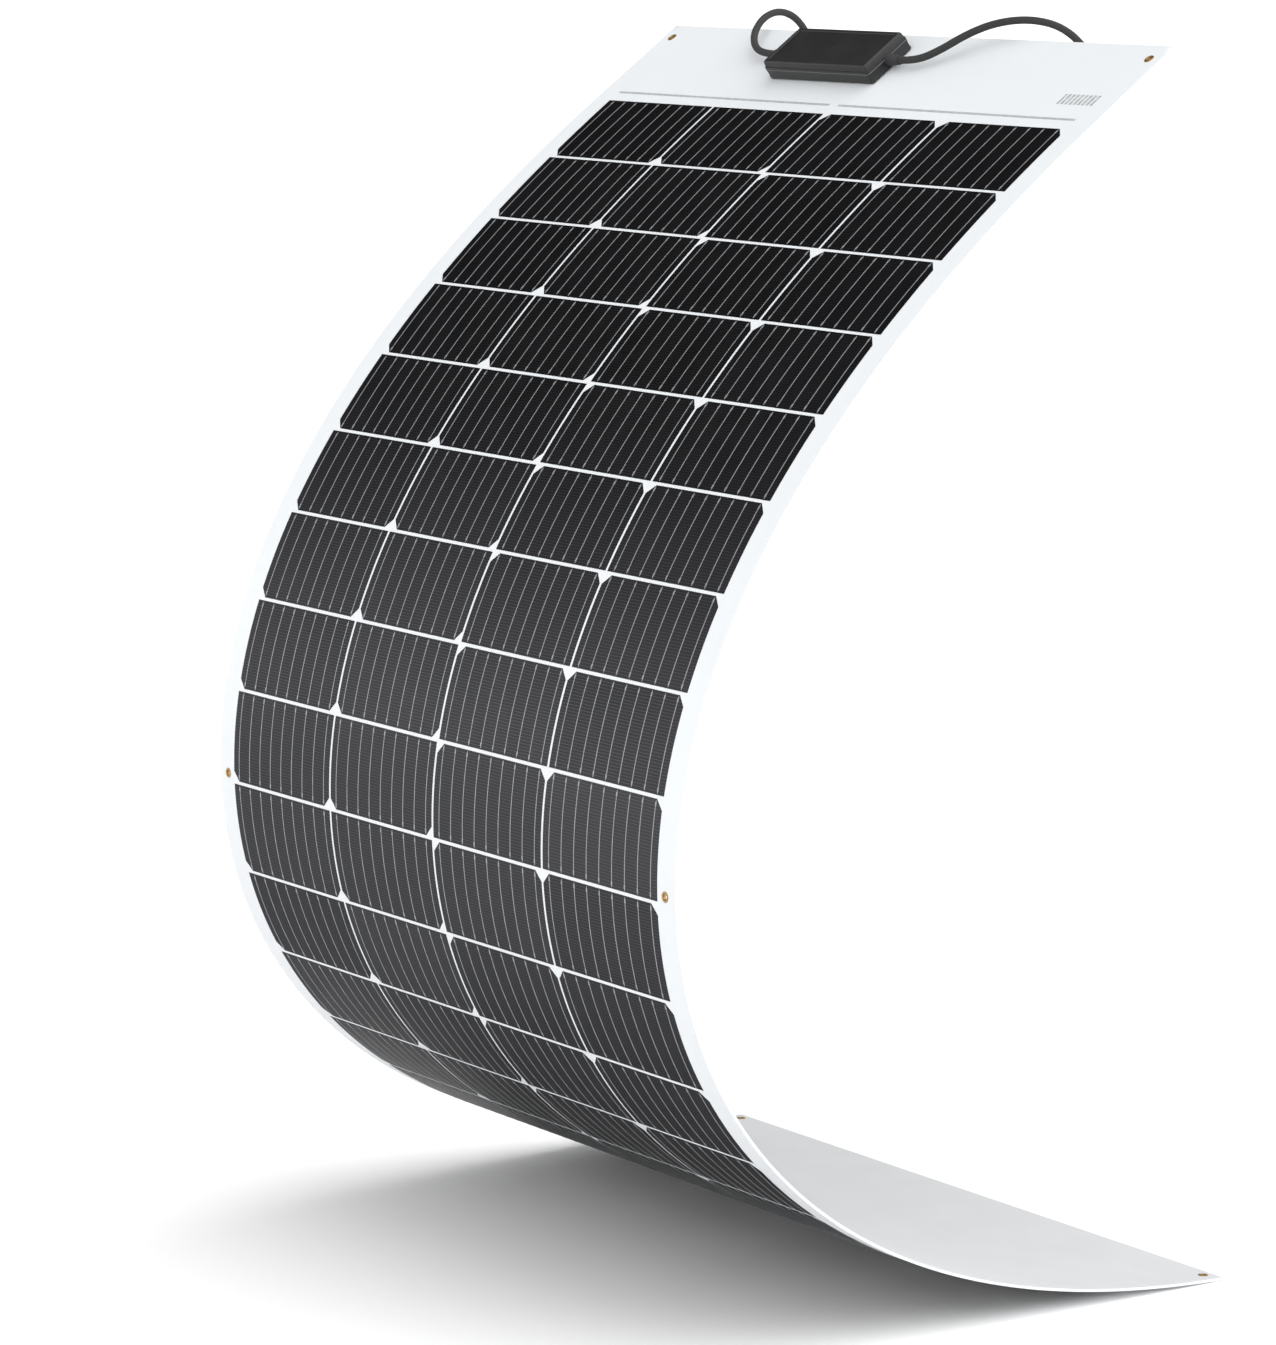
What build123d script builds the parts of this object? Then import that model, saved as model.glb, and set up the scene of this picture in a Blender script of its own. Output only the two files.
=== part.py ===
"""Flexible solar sheet: a thin laminated panel of half-cut cells, bent into an open C.

Millimetres. +X is the way the C opens, +Y runs across the sheet, +Z is up.
The sheet is described by s, the distance down its middle surface from the first row of
cells, and by an offset from that surface, positive towards the outer, sunny side.
The origin is under the middle of the bent sheet, at the height of its lowest point.
"""

import os
from math import atan, cos, pi, radians, sin, tan

from build123d import *

# ---- cells and sheet ----
CELL_WIDTH = 156.75  # a whole wafer's side
CELL_LENGTH = 78.375  # the wafer cut in half
CELL_CHAMFER = 8.3  # the wafer's cropped corners
CELL_THICKNESS = 0.2
CELL_GAP = 2.8  # white gap between neighbouring cells
ROWS = 18
COLUMNS = 4
SHEET_WIDTH = 684.0
HEADER_LENGTH = 110.0  # plain white end that carries the junction box
FOOTER_LENGTH = 26.0  # plain white strip at the other end
BACK_SHEET_THICKNESS = 1.25
FRONT_FILM_THICKNESS = 1.25
POCKET_CLEARANCE = 0.05  # resin-filled play around each cell in the front film
HINGE_GAP = 0.8  # resin line between two stiff strips of the sheet

# ---- the bend: slope of the sheet against the vertical, in degrees ----
SLOPE_AT_TIGHTEST = 19.9
SLOPE_SPREAD = 64.0  # degrees of slope for each radian of the arctangent
TIGHTEST_ROW = 10.27
BEND_SPREAD_ROWS = 4.45  # how many rows the tight stretch spreads over

# ---- strips that bend against each other, as the row lines where they meet ----
STRIP_LINES = [0, 2, 4, 6, 7, 8, 9, 10, 11, 12, 13, 14, 16, 18]

# ---- eyelets ----
EYELET_BORE_RADIUS = 2.5
EYELET_BARREL_WALL = 0.5
EYELET_FLANGE_RADIUS = 4.4
EYELET_FLANGE_THICKNESS = 0.5
EYELET_PLAY = 0.1
EYELET_SIDE_INSET = 14.0
EYELET_TOP_INSET = 18.0
EYELET_BOTTOM_INSET = 12.0
MIDDLE_EYELET_LINE = 9
MIDDLE_EYELET_RISE = 6.5  # middle eyelets sit just above their row line

# ---- bus ribbons ----
BUS_WIDTH = 4.0
BUS_THICKNESS = 0.3
BUS_RISE = 8.0  # from the end cells to the ribbon's middle
BUS_SPLIT = 12.0  # gap between two strings' ribbons

# ---- junction box ----
BOX_LENGTH = 146.0
BOX_WIDTH = 52.0
BOX_WALL = 2.4
BOX_FLOOR = 2.0
BOX_BASE_HEIGHT = 9.0
BOX_LID_HEIGHT = 8.0
BOX_SEAL_THICKNESS = 0.8
BOX_TAPER = 12.0  # degrees that the lid's sides lean in
BOX_CORNER = 3.0
BOX_INSIDE_CORNER = 2.0
BOX_ACROSS = 49.0  # middle of the box from the sheet's middle line
BOX_FROM_TOP = 44.0  # middle of the box from the sheet's top edge
PAD_THICKNESS = 1.0
PAD_INSET = 2.0
TERMINAL_LENGTH = 26.0
TERMINAL_WIDTH = 12.0
TERMINAL_HEIGHT = 3.0
TERMINAL_PITCH = 44.0
TERMINAL_HOLE_RADIUS = 2.0
DIODE_RADIUS = 2.6
DIODE_LENGTH = 9.0

# ---- cables, glands and connectors ----
CABLE_DIAMETER = 6.4
CABLE_RISE = 6.5  # middle of the cable above the underside of the box's base
GLAND_RADIUS = 5.4
GLAND_TIP_RADIUS = 4.1
GLAND_LENGTH = 14.0
COIL_RADIUS = 35.0
COIL_SECTION = 7.0  # three passes of cable bound together
NEAR_COIL = (-30.0, 35.0, -98.0)  # middle: across, behind and above the top edge
FAR_COIL = (170.0, 45.0, -88.0)
TIE_THICKNESS = 1.2
TIE_WIDTH = 4.0
TIE_PLAY = 0.15
TAIL_LENGTH = 46.0
CONNECTOR_LENGTH = 42.0
CONNECTOR_RADIUS = 7.5
CONNECTOR_BORE = 4.5
CONNECTOR_BORE_DEPTH = 26.0
NUT_LENGTH = 15.0
NUT_RADIUS = 8.8
NUT_SIDES = 12
CONTACT_RADIUS = 2.0
CONTACT_LENGTH = 16.0
PRONG_LENGTH = 9.0
PRONG_WIDTH = 4.0
PRONG_THICKNESS = 1.8

ROW_PITCH = CELL_LENGTH + CELL_GAP
COLUMN_PITCH = CELL_WIDTH + CELL_GAP
CELLS_LENGTH = ROWS * ROW_PITCH
OUTER = FRONT_FILM_THICKNESS
INNER = -BACK_SHEET_THICKNESS
CABLE_RADIUS = CABLE_DIAMETER / 2
MANY = 40.0  # deep enough to cut right through the sheet
SPARE = 2.0  # how far a cell's outline runs past the ends that the row's slab cuts off

os.makedirs("parts", exist_ok=True)


def save(part, name):
    """Label a finished piece and write it."""
    part.label = name
    export_step(part, f"parts/{name}.step")


# ---------------------------------------------------------------- shape of the bend
def slope(line):
    """Slope in degrees at a row line, 0 where the sheet hangs straight down."""
    return SLOPE_AT_TIGHTEST + SLOPE_SPREAD * atan((line - TIGHTEST_ROW) / BEND_SPREAD_ROWS)


def step(start_slope, turn, length):
    """Where an arc of this length and turn ends, seen from its start: (x, z)."""
    chord = length if turn == 0 else 2 * length / radians(turn) * sin(radians(turn / 2))
    heading = radians(start_slope + turn / 2)
    return chord * sin(heading), -chord * cos(heading)


def row_line_points():
    """Middle-surface points at every row line, from (0, 0) at the first."""
    points = [(0.0, 0.0)]
    for line in range(ROWS):
        dx, dz = step(slope(line), slope(line + 1) - slope(line), ROW_PITCH)
        points.append((points[-1][0] + dx, points[-1][1] + dz))
    return points


LINE_POINTS = row_line_points()


def on_curve(s, offset):
    """(x, z) and slope at a distance down the sheet, before the origin is placed."""
    line = min(max(int(s // ROW_PITCH), 0), ROWS - 1)
    turn = slope(line + 1) - slope(line)
    if s < 0:
        start, base, length, turned = LINE_POINTS[0], slope(0), s, 0.0
    elif s > CELLS_LENGTH:
        start, base, length, turned = LINE_POINTS[ROWS], slope(ROWS), s - CELLS_LENGTH, 0.0
    else:
        start, base, length = LINE_POINTS[line], slope(line), s - line * ROW_PITCH
        turned = turn * length / ROW_PITCH
    dx, dz = step(base, turned, length)
    here = base + turned
    out = radians(here)
    return start[0] + dx - offset * cos(out), start[1] + dz - offset * sin(out), here


TOP_EDGE = -HEADER_LENGTH
BOTTOM_EDGE = CELLS_LENGTH + FOOTER_LENGTH
STEPS = 2000  # places along the sheet where its outermost points are looked for
SAMPLES = [TOP_EDGE + (BOTTOM_EDGE - TOP_EDGE) * i / STEPS for i in range(STEPS + 1)]
FACE_POINTS = [on_curve(s, offset) for s in SAMPLES for offset in (INNER, OUTER)]
MIDDLE_X = (min(p[0] for p in FACE_POINTS) + max(p[0] for p in FACE_POINTS)) / 2
LOWEST_Z = min(p[1] for p in FACE_POINTS)


def on_sheet(s, offset=0.0):
    """(x, z) at a distance down the sheet and an offset towards the sunny side."""
    x, z, _ = on_curve(s, offset)
    return x - MIDDLE_X, z - LOWEST_Z


def sheet_plane(s, across, offset):
    """Plane on the sheet: local x is +Y, local y is down the sheet, local z points out."""
    x, z = on_sheet(s, offset)
    out = radians(on_curve(s, offset)[2])
    return Plane(origin=(x, across, z), x_dir=(0, 1, 0), z_dir=(-cos(out), 0, -sin(out)))


def stops(start, end):
    """The ends of each arc or straight between two distances."""
    lines = [line * ROW_PITCH for line in range(ROWS + 1)]
    return [start] + [s for s in lines if start + 0.01 < s < end - 0.01] + [end]


def layer(start, end, low, high, width=SHEET_WIDTH):
    """A layer of the laminate between two distances and two offsets."""
    marks = stops(start, end)
    spans = list(zip(marks[:-1], marks[1:]))
    with BuildPart() as built:
        with BuildSketch(Plane.XZ):
            with BuildLine():
                for a, b in spans:
                    for offset in (low, high):
                        if a < 0 or b > CELLS_LENGTH + 0.01:
                            Line(on_sheet(a, offset), on_sheet(b, offset))
                        else:
                            middle = on_sheet((a + b) / 2, offset)
                            ThreePointArc(on_sheet(a, offset), middle, on_sheet(b, offset))
                Line(on_sheet(start, low), on_sheet(start, high))
                Line(on_sheet(end, low), on_sheet(end, high))
            make_face()
        extrude(amount=width / 2, both=True)
    return built.part


# ---------------------------------------------------------------- cells
def column_middle(column):
    """Middle of a column of cells; the first is on the +Y side."""
    return ((COLUMNS - 1) / 2 - column) * COLUMN_PITCH


def cell_row(row, grow, low, high):
    """One row of cells, or the pockets for it when grown by a play all round.

    The columns on the +Y half have their cropped corners on the lower side and the others
    on the upper side, because the strings are laid in opposite directions.
    """
    middle = (row + 0.5) * ROW_PITCH
    half = CELL_LENGTH / 2 + grow
    side = CELL_WIDTH / 2 + grow
    crop_start = on_chord(row, half) - CELL_CHAMFER
    crop_run = CELL_CHAMFER + SPARE
    slab = layer(middle - half, middle + half, low, high)
    with BuildPart() as built:
        with BuildSketch(sheet_plane(middle, 0, 0)):
            for column in range(COLUMNS):
                across = column_middle(column)
                way = 1 if column < COLUMNS / 2 else -1
                with BuildLine():
                    Polyline(
                        (across - side, -way * (half + SPARE)),
                        (across + side, -way * (half + SPARE)),
                        (across + side, way * crop_start),
                        (across + side - crop_run, way * (crop_start + crop_run)),
                        (across - side + crop_run, way * (crop_start + crop_run)),
                        (across - side, way * crop_start),
                        close=True,
                    )
                make_face()
        extrude(amount=MANY / 2, both=True)
        add(slab, mode=Mode.INTERSECT)
    return built.part


def on_chord(row, length):
    """Length along a row's arc, from its middle, flattened on to its middle's tangent."""
    turn = radians(slope(row + 1) - slope(row))
    return sin(turn * length / ROW_PITCH) * ROW_PITCH / turn


def bus_spans():
    """Where each end ribbon lies across the sheet: (from, to), one ribbon a pair of columns."""
    edge = COLUMN_PITCH * COLUMNS / 2 - CELL_GAP
    return [(BUS_SPLIT / 2, edge), (-edge, -BUS_SPLIT / 2)]


def bus_ribbons(s, grow):
    """The flat ribbons that join the strings at one end of the sheet."""
    with BuildPart() as built:
        for low, high in bus_spans():
            with BuildSketch(sheet_plane(s, (low + high) / 2, 0)):
                Rectangle(high - low + 2 * grow, BUS_WIDTH + 2 * grow)
            extrude(amount=BUS_THICKNESS + grow)
    return built.part


# ---------------------------------------------------------------- eyelets
def eyelet_planes(s):
    """The two eyelets at one distance down the sheet: far (+Y) side, then near."""
    side = SHEET_WIDTH / 2 - EYELET_SIDE_INSET
    return [sheet_plane(s, side, 0), sheet_plane(s, -side, 0)]


EYELET_S = {
    "top": TOP_EDGE + EYELET_TOP_INSET,
    "middle": MIDDLE_EYELET_LINE * ROW_PITCH - MIDDLE_EYELET_RISE,
    "bottom": BOTTOM_EDGE - EYELET_BOTTOM_INSET,
}
EYELET_OUTSIDE = EYELET_BORE_RADIUS + EYELET_BARREL_WALL


def eyelets(s):
    """Two rolled eyelets: a barrel through the sheet with a flange on each face."""
    reach = OUTER + EYELET_PLAY / 2 + EYELET_FLANGE_THICKNESS
    with BuildPart() as built:
        for plane in eyelet_planes(s):
            with Locations(plane):
                Cylinder(EYELET_OUTSIDE, 2 * reach)
                for side in (-1, 1):
                    with Locations((0, 0, side * (reach - EYELET_FLANGE_THICKNESS / 2))):
                        Cylinder(EYELET_FLANGE_RADIUS, EYELET_FLANGE_THICKNESS)
                Cylinder(EYELET_BORE_RADIUS, MANY, mode=Mode.SUBTRACT)
    return built.part


for place, s in EYELET_S.items():
    save(eyelets(s), f"{place}_eyelets")

# ---------------------------------------------------------------- the laminate, strip by strip
TOP_BUS_S = -CELL_GAP - BUS_RISE
BOTTOM_BUS_S = CELLS_LENGTH + BUS_RISE
STRIPS = list(zip(STRIP_LINES[:-1], STRIP_LINES[1:]))

for number, (first, last) in enumerate(STRIPS, start=1):
    start = TOP_EDGE if first == 0 else first * ROW_PITCH + HINGE_GAP / 2
    end = BOTTOM_EDGE if last == ROWS else last * ROW_PITCH - HINGE_GAP / 2
    here = [s for s in EYELET_S.values() if start < s < end]
    rows = range(first, last)

    with BuildPart() as back_sheet:
        add(layer(start, end, INNER, 0))
        for s in here:
            for plane in eyelet_planes(s):
                with Locations(plane):
                    Cylinder(EYELET_OUTSIDE + EYELET_PLAY, MANY, mode=Mode.SUBTRACT)
    save(back_sheet.part, f"back_sheet_{number:02d}")

    with BuildPart() as cells:
        for row in rows:
            add(cell_row(row, 0, 0, CELL_THICKNESS))
    save(cells.part, f"cells_{number:02d}")

    with BuildPart() as front_film:
        add(layer(start, end, 0, OUTER))
        for row in rows:
            pocket = cell_row(row, POCKET_CLEARANCE, -1, CELL_THICKNESS + POCKET_CLEARANCE)
            add(pocket, mode=Mode.SUBTRACT)
        for s in here:
            for plane in eyelet_planes(s):
                with Locations(plane):
                    Cylinder(EYELET_OUTSIDE + EYELET_PLAY, MANY, mode=Mode.SUBTRACT)
        if first == 0:
            add(bus_ribbons(TOP_BUS_S, POCKET_CLEARANCE), mode=Mode.SUBTRACT)
        if last == ROWS:
            add(bus_ribbons(BOTTOM_BUS_S, POCKET_CLEARANCE), mode=Mode.SUBTRACT)
    save(front_film.part, f"front_film_{number:02d}")

save(bus_ribbons(TOP_BUS_S, 0), "top_bus_ribbons")
save(bus_ribbons(BOTTOM_BUS_S, 0), "bottom_bus_ribbons")

# ---------------------------------------------------------------- junction box
BOX_S = TOP_EDGE + BOX_FROM_TOP


def box_plane(height):
    """Plane in the box at a height over the sheet's outer face."""
    return sheet_plane(BOX_S, BOX_ACROSS, OUTER + height)


with BuildPart() as adhesive_pad:
    with BuildSketch(box_plane(0)):
        RectangleRounded(BOX_LENGTH - 2 * PAD_INSET, BOX_WIDTH - 2 * PAD_INSET, BOX_CORNER)
    extrude(amount=PAD_THICKNESS)
save(adhesive_pad.part, "adhesive_pad")

GLAND_HEIGHT = PAD_THICKNESS + CABLE_RISE


def box_hollow():
    """Outline of the space inside the box's walls, on the plane that is being drawn on."""
    return RectangleRounded(
        BOX_LENGTH - 2 * BOX_WALL, BOX_WIDTH - 2 * BOX_WALL, BOX_INSIDE_CORNER, mode=Mode.PRIVATE
    )


with BuildPart() as box_base:
    with BuildSketch(box_plane(PAD_THICKNESS)):
        RectangleRounded(BOX_LENGTH, BOX_WIDTH, BOX_CORNER)
    extrude(amount=BOX_BASE_HEIGHT)
    with BuildSketch(box_plane(PAD_THICKNESS + BOX_FLOOR)):
        add(box_hollow())
    extrude(amount=BOX_BASE_HEIGHT - BOX_FLOOR, mode=Mode.SUBTRACT)
save(box_base.part, "junction_box_base")

with BuildPart() as box_seal:
    with BuildSketch(box_plane(PAD_THICKNESS + BOX_BASE_HEIGHT)):
        RectangleRounded(BOX_LENGTH, BOX_WIDTH, BOX_CORNER)
        add(box_hollow(), mode=Mode.SUBTRACT)
    extrude(amount=BOX_SEAL_THICKNESS)
save(box_seal.part, "junction_box_seal")

LID_START = PAD_THICKNESS + BOX_BASE_HEIGHT + BOX_SEAL_THICKNESS
with BuildPart() as box_lid:
    with BuildSketch(box_plane(LID_START)):
        RectangleRounded(BOX_LENGTH, BOX_WIDTH, BOX_CORNER)
    extrude(amount=BOX_LID_HEIGHT, taper=BOX_TAPER)
    with BuildSketch(box_plane(LID_START)):
        add(box_hollow())
    extrude(amount=BOX_LID_HEIGHT - BOX_WALL, taper=BOX_TAPER, mode=Mode.SUBTRACT)
save(box_lid.part, "junction_box_lid")

with BuildPart() as terminals:
    with BuildSketch(box_plane(PAD_THICKNESS + BOX_FLOOR)):
        with GridLocations(TERMINAL_PITCH, 0, 3, 1):
            Rectangle(TERMINAL_LENGTH, TERMINAL_WIDTH)
            Circle(TERMINAL_HOLE_RADIUS, mode=Mode.SUBTRACT)
    extrude(amount=TERMINAL_HEIGHT)
save(terminals.part, "terminal_rails")

with BuildPart() as diodes:
    for side in (-1, 1):
        across = BOX_ACROSS + side * TERMINAL_PITCH / 2 - DIODE_LENGTH / 2
        middle = sheet_plane(BOX_S, across, OUTER + PAD_THICKNESS + BOX_FLOOR + DIODE_RADIUS)
        with BuildSketch(Plane(origin=middle.origin, x_dir=middle.y_dir, z_dir=(0, 1, 0))):
            Circle(DIODE_RADIUS)
        extrude(amount=DIODE_LENGTH)
save(diodes.part, "bypass_diodes")

with BuildPart() as glands:
    for side in (-1, 1):
        mouth = Plane(
            origin=sheet_plane(
                BOX_S, BOX_ACROSS + side * BOX_LENGTH / 2, OUTER + GLAND_HEIGHT).origin,
            x_dir=box_plane(0).y_dir * side, z_dir=(0, side, 0),
        )
        with BuildSketch(mouth):
            Circle(GLAND_RADIUS)
        with BuildSketch(mouth.offset(GLAND_LENGTH)):
            Circle(GLAND_TIP_RADIUS)
        loft()
save(glands.part, "cable_glands")


# ---------------------------------------------------------------- cables
def over_header(across, down, out):
    """Point over the header: across, down from the top edge, out from its sunny face."""
    return sheet_plane(TOP_EDGE + down, across, OUTER + out).origin


def from_edge(across, behind, above):
    """Point seen from the top edge: across, horizontally behind it and straight above it."""
    x, z = on_sheet(TOP_EDGE, OUTER)
    return Vector(x + behind, across, z + above)


NEAR_EXIT = BOX_ACROSS - BOX_LENGTH / 2 - GLAND_LENGTH
FAR_EXIT = BOX_ACROSS + BOX_LENGTH / 2 + GLAND_LENGTH

# Each cable leaves its gland, climbs over the top edge and hangs behind it to its coil.
NEAR_ROUTE = [
    over_header(NEAR_EXIT, BOX_FROM_TOP, GLAND_HEIGHT),
    over_header(NEAR_EXIT - 22, BOX_FROM_TOP, GLAND_HEIGHT),
    from_edge(-84, -33, -10),
    from_edge(-106, -22, 4),
    from_edge(-131, -10, 14),
    from_edge(-158, 4, 17),
    from_edge(-181, 18, 11),
    from_edge(-198, 29, -6),
    from_edge(-206, 34, -28),
    from_edge(-204, 35, -50),
    from_edge(-191, 35, -67),
    from_edge(-168, 35, -76),
    from_edge(-137, 35, -77),
    from_edge(-103, 35, -72),
    from_edge(-67, 35, -65.5),
    from_edge(NEAR_COIL[0], NEAR_COIL[1], NEAR_COIL[2] + COIL_RADIUS),
]
FAR_ROUTE = [
    over_header(FAR_EXIT, BOX_FROM_TOP, GLAND_HEIGHT),
    over_header(FAR_EXIT + 22, BOX_FROM_TOP, GLAND_HEIGHT),
    from_edge(178, -34, -12),
    from_edge(192, -22, 0),
    from_edge(199, -6, 11.5),
    from_edge(203, 14, 16),
    from_edge(206, 34, 9.5),
    from_edge(207.5, 49, -7),
    from_edge(208, 53, -29),
    from_edge(207, 50, -54),
    from_edge(FAR_COIL[0] + COIL_RADIUS, FAR_COIL[1], FAR_COIL[2] + 6),
]


def corner_radii(points):
    """Largest tangent arc at each corner: 0.45 of its shorter run over tan(half the turn)."""
    radii = []
    for before, corner, after in zip(points[:-2], points[1:-1], points[2:]):
        run_in = corner - before
        run_out = after - corner
        half_turn = radians(run_in.get_angle(run_out)) / 2
        radii.append(0.45 * min(run_in.length, run_out.length) / tan(half_turn))
    return radii


def hanging_plane(coil, below):
    """Plane on the tail that leaves a coil on its +Y side; local z points straight down."""
    across, behind, above = coil
    origin = from_edge(across + COIL_RADIUS, behind, above - below)
    return Plane(origin=origin, x_dir=(1, 0, 0), z_dir=(0, 0, -1))


def cable(points, coil, name):
    """A cable's two free stretches: straight runs joined by tangent arcs, and the tail."""
    radii = corner_radii(points)
    with BuildPart() as built:
        with BuildLine() as path:
            FilletPolyline(*points, radius=radii)
        with BuildSketch(Plane(origin=points[0], z_dir=points[1] - points[0])):
            Circle(CABLE_RADIUS)
        sweep()
        length = sum(edge.length for edge in path.edges())
        ratio = built.part.volume / (pi * CABLE_RADIUS**2 * length)
        with BuildSketch(hanging_plane(coil, 0)):
            Circle(CABLE_RADIUS)
        extrude(amount=TAIL_LENGTH)
    print(name, "run", round(length, 1), "volume over section times run", round(ratio, 4))
    print(name, "radii", [round(r) for r in radii])
    save(built.part, name)


cable(NEAR_ROUTE, NEAR_COIL, "negative_cable")
cable(FAR_ROUTE, FAR_COIL, "positive_cable")


def coil_plane(coil):
    """Plane of a hanging coil: local x is +Y, local y is up, local z points to +X."""
    return Plane(origin=from_edge(*coil), x_dir=(0, 1, 0), z_dir=(1, 0, 0))


def coil_ring(coil, name):
    """The outer shape of a tied coil: one ring as thick as its turns bound together."""
    with BuildPart() as built:
        with Locations(coil_plane(coil)):
            Torus(COIL_RADIUS, COIL_SECTION)
    save(built.part, name)


coil_ring(NEAR_COIL, "negative_coil")
coil_ring(FAR_COIL, "positive_coil")

# Each coil's ties keep clear of where its cable comes in and where its tail leaves.
with BuildPart() as ties:
    for coil, angles in ((NEAR_COIL, (45, 225)), (FAR_COIL, (135, 225))):
        around = coil_plane(coil)
        for angle in angles:
            outwards = around.x_dir * cos(radians(angle)) + around.y_dir * sin(radians(angle))
            along = around.y_dir * cos(radians(angle)) - around.x_dir * sin(radians(angle))
            spot = around.origin + outwards * COIL_RADIUS
            with BuildSketch(Plane(origin=spot, z_dir=along).offset(-TIE_WIDTH / 2)):
                Circle(COIL_SECTION + TIE_PLAY + TIE_THICKNESS)
                Circle(COIL_SECTION + TIE_PLAY, mode=Mode.SUBTRACT)
            extrude(amount=TIE_WIDTH)
save(ties.part, "coil_ties")


# ---------------------------------------------------------------- connectors
with BuildPart() as nuts:
    for coil in (NEAR_COIL, FAR_COIL):
        with BuildSketch(hanging_plane(coil, TAIL_LENGTH)):
            RegularPolygon(NUT_RADIUS, NUT_SIDES)
        extrude(amount=NUT_LENGTH)
save(nuts.part, "connector_nuts")


def connector(coil, has_prongs, name):
    """A cable connector's barrel, open at its mating end, with latch prongs on one of the pair."""
    top = TAIL_LENGTH + NUT_LENGTH
    with BuildPart() as built:
        with BuildSketch(hanging_plane(coil, top)):
            Circle(CONNECTOR_RADIUS)
        extrude(amount=CONNECTOR_LENGTH)
        if has_prongs:
            with BuildSketch(hanging_plane(coil, top + CONNECTOR_LENGTH)):
                with PolarLocations(CONNECTOR_RADIUS - PRONG_THICKNESS / 2, 2):
                    Rectangle(PRONG_THICKNESS, PRONG_WIDTH)
            extrude(amount=PRONG_LENGTH)
        with BuildSketch(hanging_plane(coil, top + CONNECTOR_LENGTH)):
            Circle(CONNECTOR_BORE)
        extrude(amount=-CONNECTOR_BORE_DEPTH, mode=Mode.SUBTRACT)
    save(built.part, name)


connector(NEAR_COIL, False, "negative_connector")
connector(FAR_COIL, True, "positive_connector")

with BuildPart() as contacts:
    for coil in (NEAR_COIL, FAR_COIL):
        bore_end = TAIL_LENGTH + NUT_LENGTH + CONNECTOR_LENGTH - CONNECTOR_BORE_DEPTH
        with BuildSketch(hanging_plane(coil, bore_end)):
            Circle(CONTACT_RADIUS)
        extrude(amount=CONTACT_LENGTH)
save(contacts.part, "connector_contacts")

if __name__ == "__main__":
    print("row line points", [tuple(round(v, 1) for v in on_sheet(i * ROW_PITCH)) for i in range(ROWS + 1)])
    print("slopes", [round(slope(i), 1) for i in range(ROWS + 1)])
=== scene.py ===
"""Looks for the flexible solar sheet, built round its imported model.

Everything is in metres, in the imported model's frame: +X is the way the C opens, +Y runs across
the sheet and +Z is up. The sheet is described as its maker would: `down` is the distance along it
from the first row of cells, `across` the distance from its middle line, and `out` the height over
its middle surface, positive on the sunny side.
"""

from math import atan, cos, pi, radians, sin

import bpy
import numpy as np
from mathutils import Matrix, Vector


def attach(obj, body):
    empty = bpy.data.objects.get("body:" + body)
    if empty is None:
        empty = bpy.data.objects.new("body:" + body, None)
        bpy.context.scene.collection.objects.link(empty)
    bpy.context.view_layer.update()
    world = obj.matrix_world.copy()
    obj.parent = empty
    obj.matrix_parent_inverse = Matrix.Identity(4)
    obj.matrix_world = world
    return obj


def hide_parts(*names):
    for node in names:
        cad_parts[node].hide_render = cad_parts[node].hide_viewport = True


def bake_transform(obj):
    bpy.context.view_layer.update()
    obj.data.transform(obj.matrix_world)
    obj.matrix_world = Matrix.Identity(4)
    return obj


bl_info = {
    "name": "Flexible solar sheet",
    "version": (1, 0, 0),
    "blender": (4, 5, 0),
    "location": "View3D > Sidebar > Solar sheet",
    "description": "Laminate, cells, ribbons, eyelets, junction box and cables of a bent solar sheet",
    "category": "Add Mesh",
}

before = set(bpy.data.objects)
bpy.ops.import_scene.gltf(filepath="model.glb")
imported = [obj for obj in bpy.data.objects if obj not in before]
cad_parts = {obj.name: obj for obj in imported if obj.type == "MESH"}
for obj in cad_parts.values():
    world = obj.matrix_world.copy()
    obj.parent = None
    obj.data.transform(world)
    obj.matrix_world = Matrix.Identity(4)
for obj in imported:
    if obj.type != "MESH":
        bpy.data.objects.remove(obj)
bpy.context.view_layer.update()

MM = 0.001
MICRON = 1e-6

# ---- layout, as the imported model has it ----
CELL_WIDTH = 156.75 * MM
CELL_LENGTH = 78.375 * MM
CELL_CHAMFER = 8.3 * MM
CELL_GAP = 2.8 * MM
ROWS = 18
COLUMNS = 4
SHEET_WIDTH = 684.0 * MM
HEADER_LENGTH = 110.0 * MM
FOOTER_LENGTH = 26.0 * MM
OUTER = 1.25 * MM
INNER = -1.25 * MM
STRIP_LINES = [0, 2, 4, 6, 7, 8, 9, 10, 11, 12, 13, 14, 16, 18]
ROW_PITCH = CELL_LENGTH + CELL_GAP
COLUMN_PITCH = CELL_WIDTH + CELL_GAP
CELLS_LENGTH = ROWS * ROW_PITCH
TOP_EDGE = -HEADER_LENGTH
BOTTOM_EDGE = CELLS_LENGTH + FOOTER_LENGTH

SLOPE_AT_TIGHTEST = 19.9
SLOPE_SPREAD = 64.0
TIGHTEST_ROW = 10.27
BEND_SPREAD_ROWS = 4.45
BALANCE_STEPS = 2000  # places along the sheet where its outermost points are looked for

EYELET_BORE_RADIUS = 2.5 * MM
EYELET_BARREL_RADIUS = 3.0 * MM
EYELET_FLANGE_RADIUS = 4.4 * MM
EYELET_LIP_HEIGHT = 0.5 * MM
EYELET_PLAY = 0.1 * MM
EYELET_FROM_SIDE = 14.0 * MM
EYELET_FROM_TOP = 18.0 * MM
EYELET_FROM_MIDDLE = 6.5 * MM
EYELET_FROM_BOTTOM = 12.0 * MM
EYELET_ACROSS = SHEET_WIDTH / 2 - EYELET_FROM_SIDE
EYELET_DOWN = {
    "top": TOP_EDGE + EYELET_FROM_TOP,
    "middle": CELLS_LENGTH / 2 - EYELET_FROM_MIDDLE,
    "bottom": BOTTOM_EDGE - EYELET_FROM_BOTTOM,
}

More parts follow.
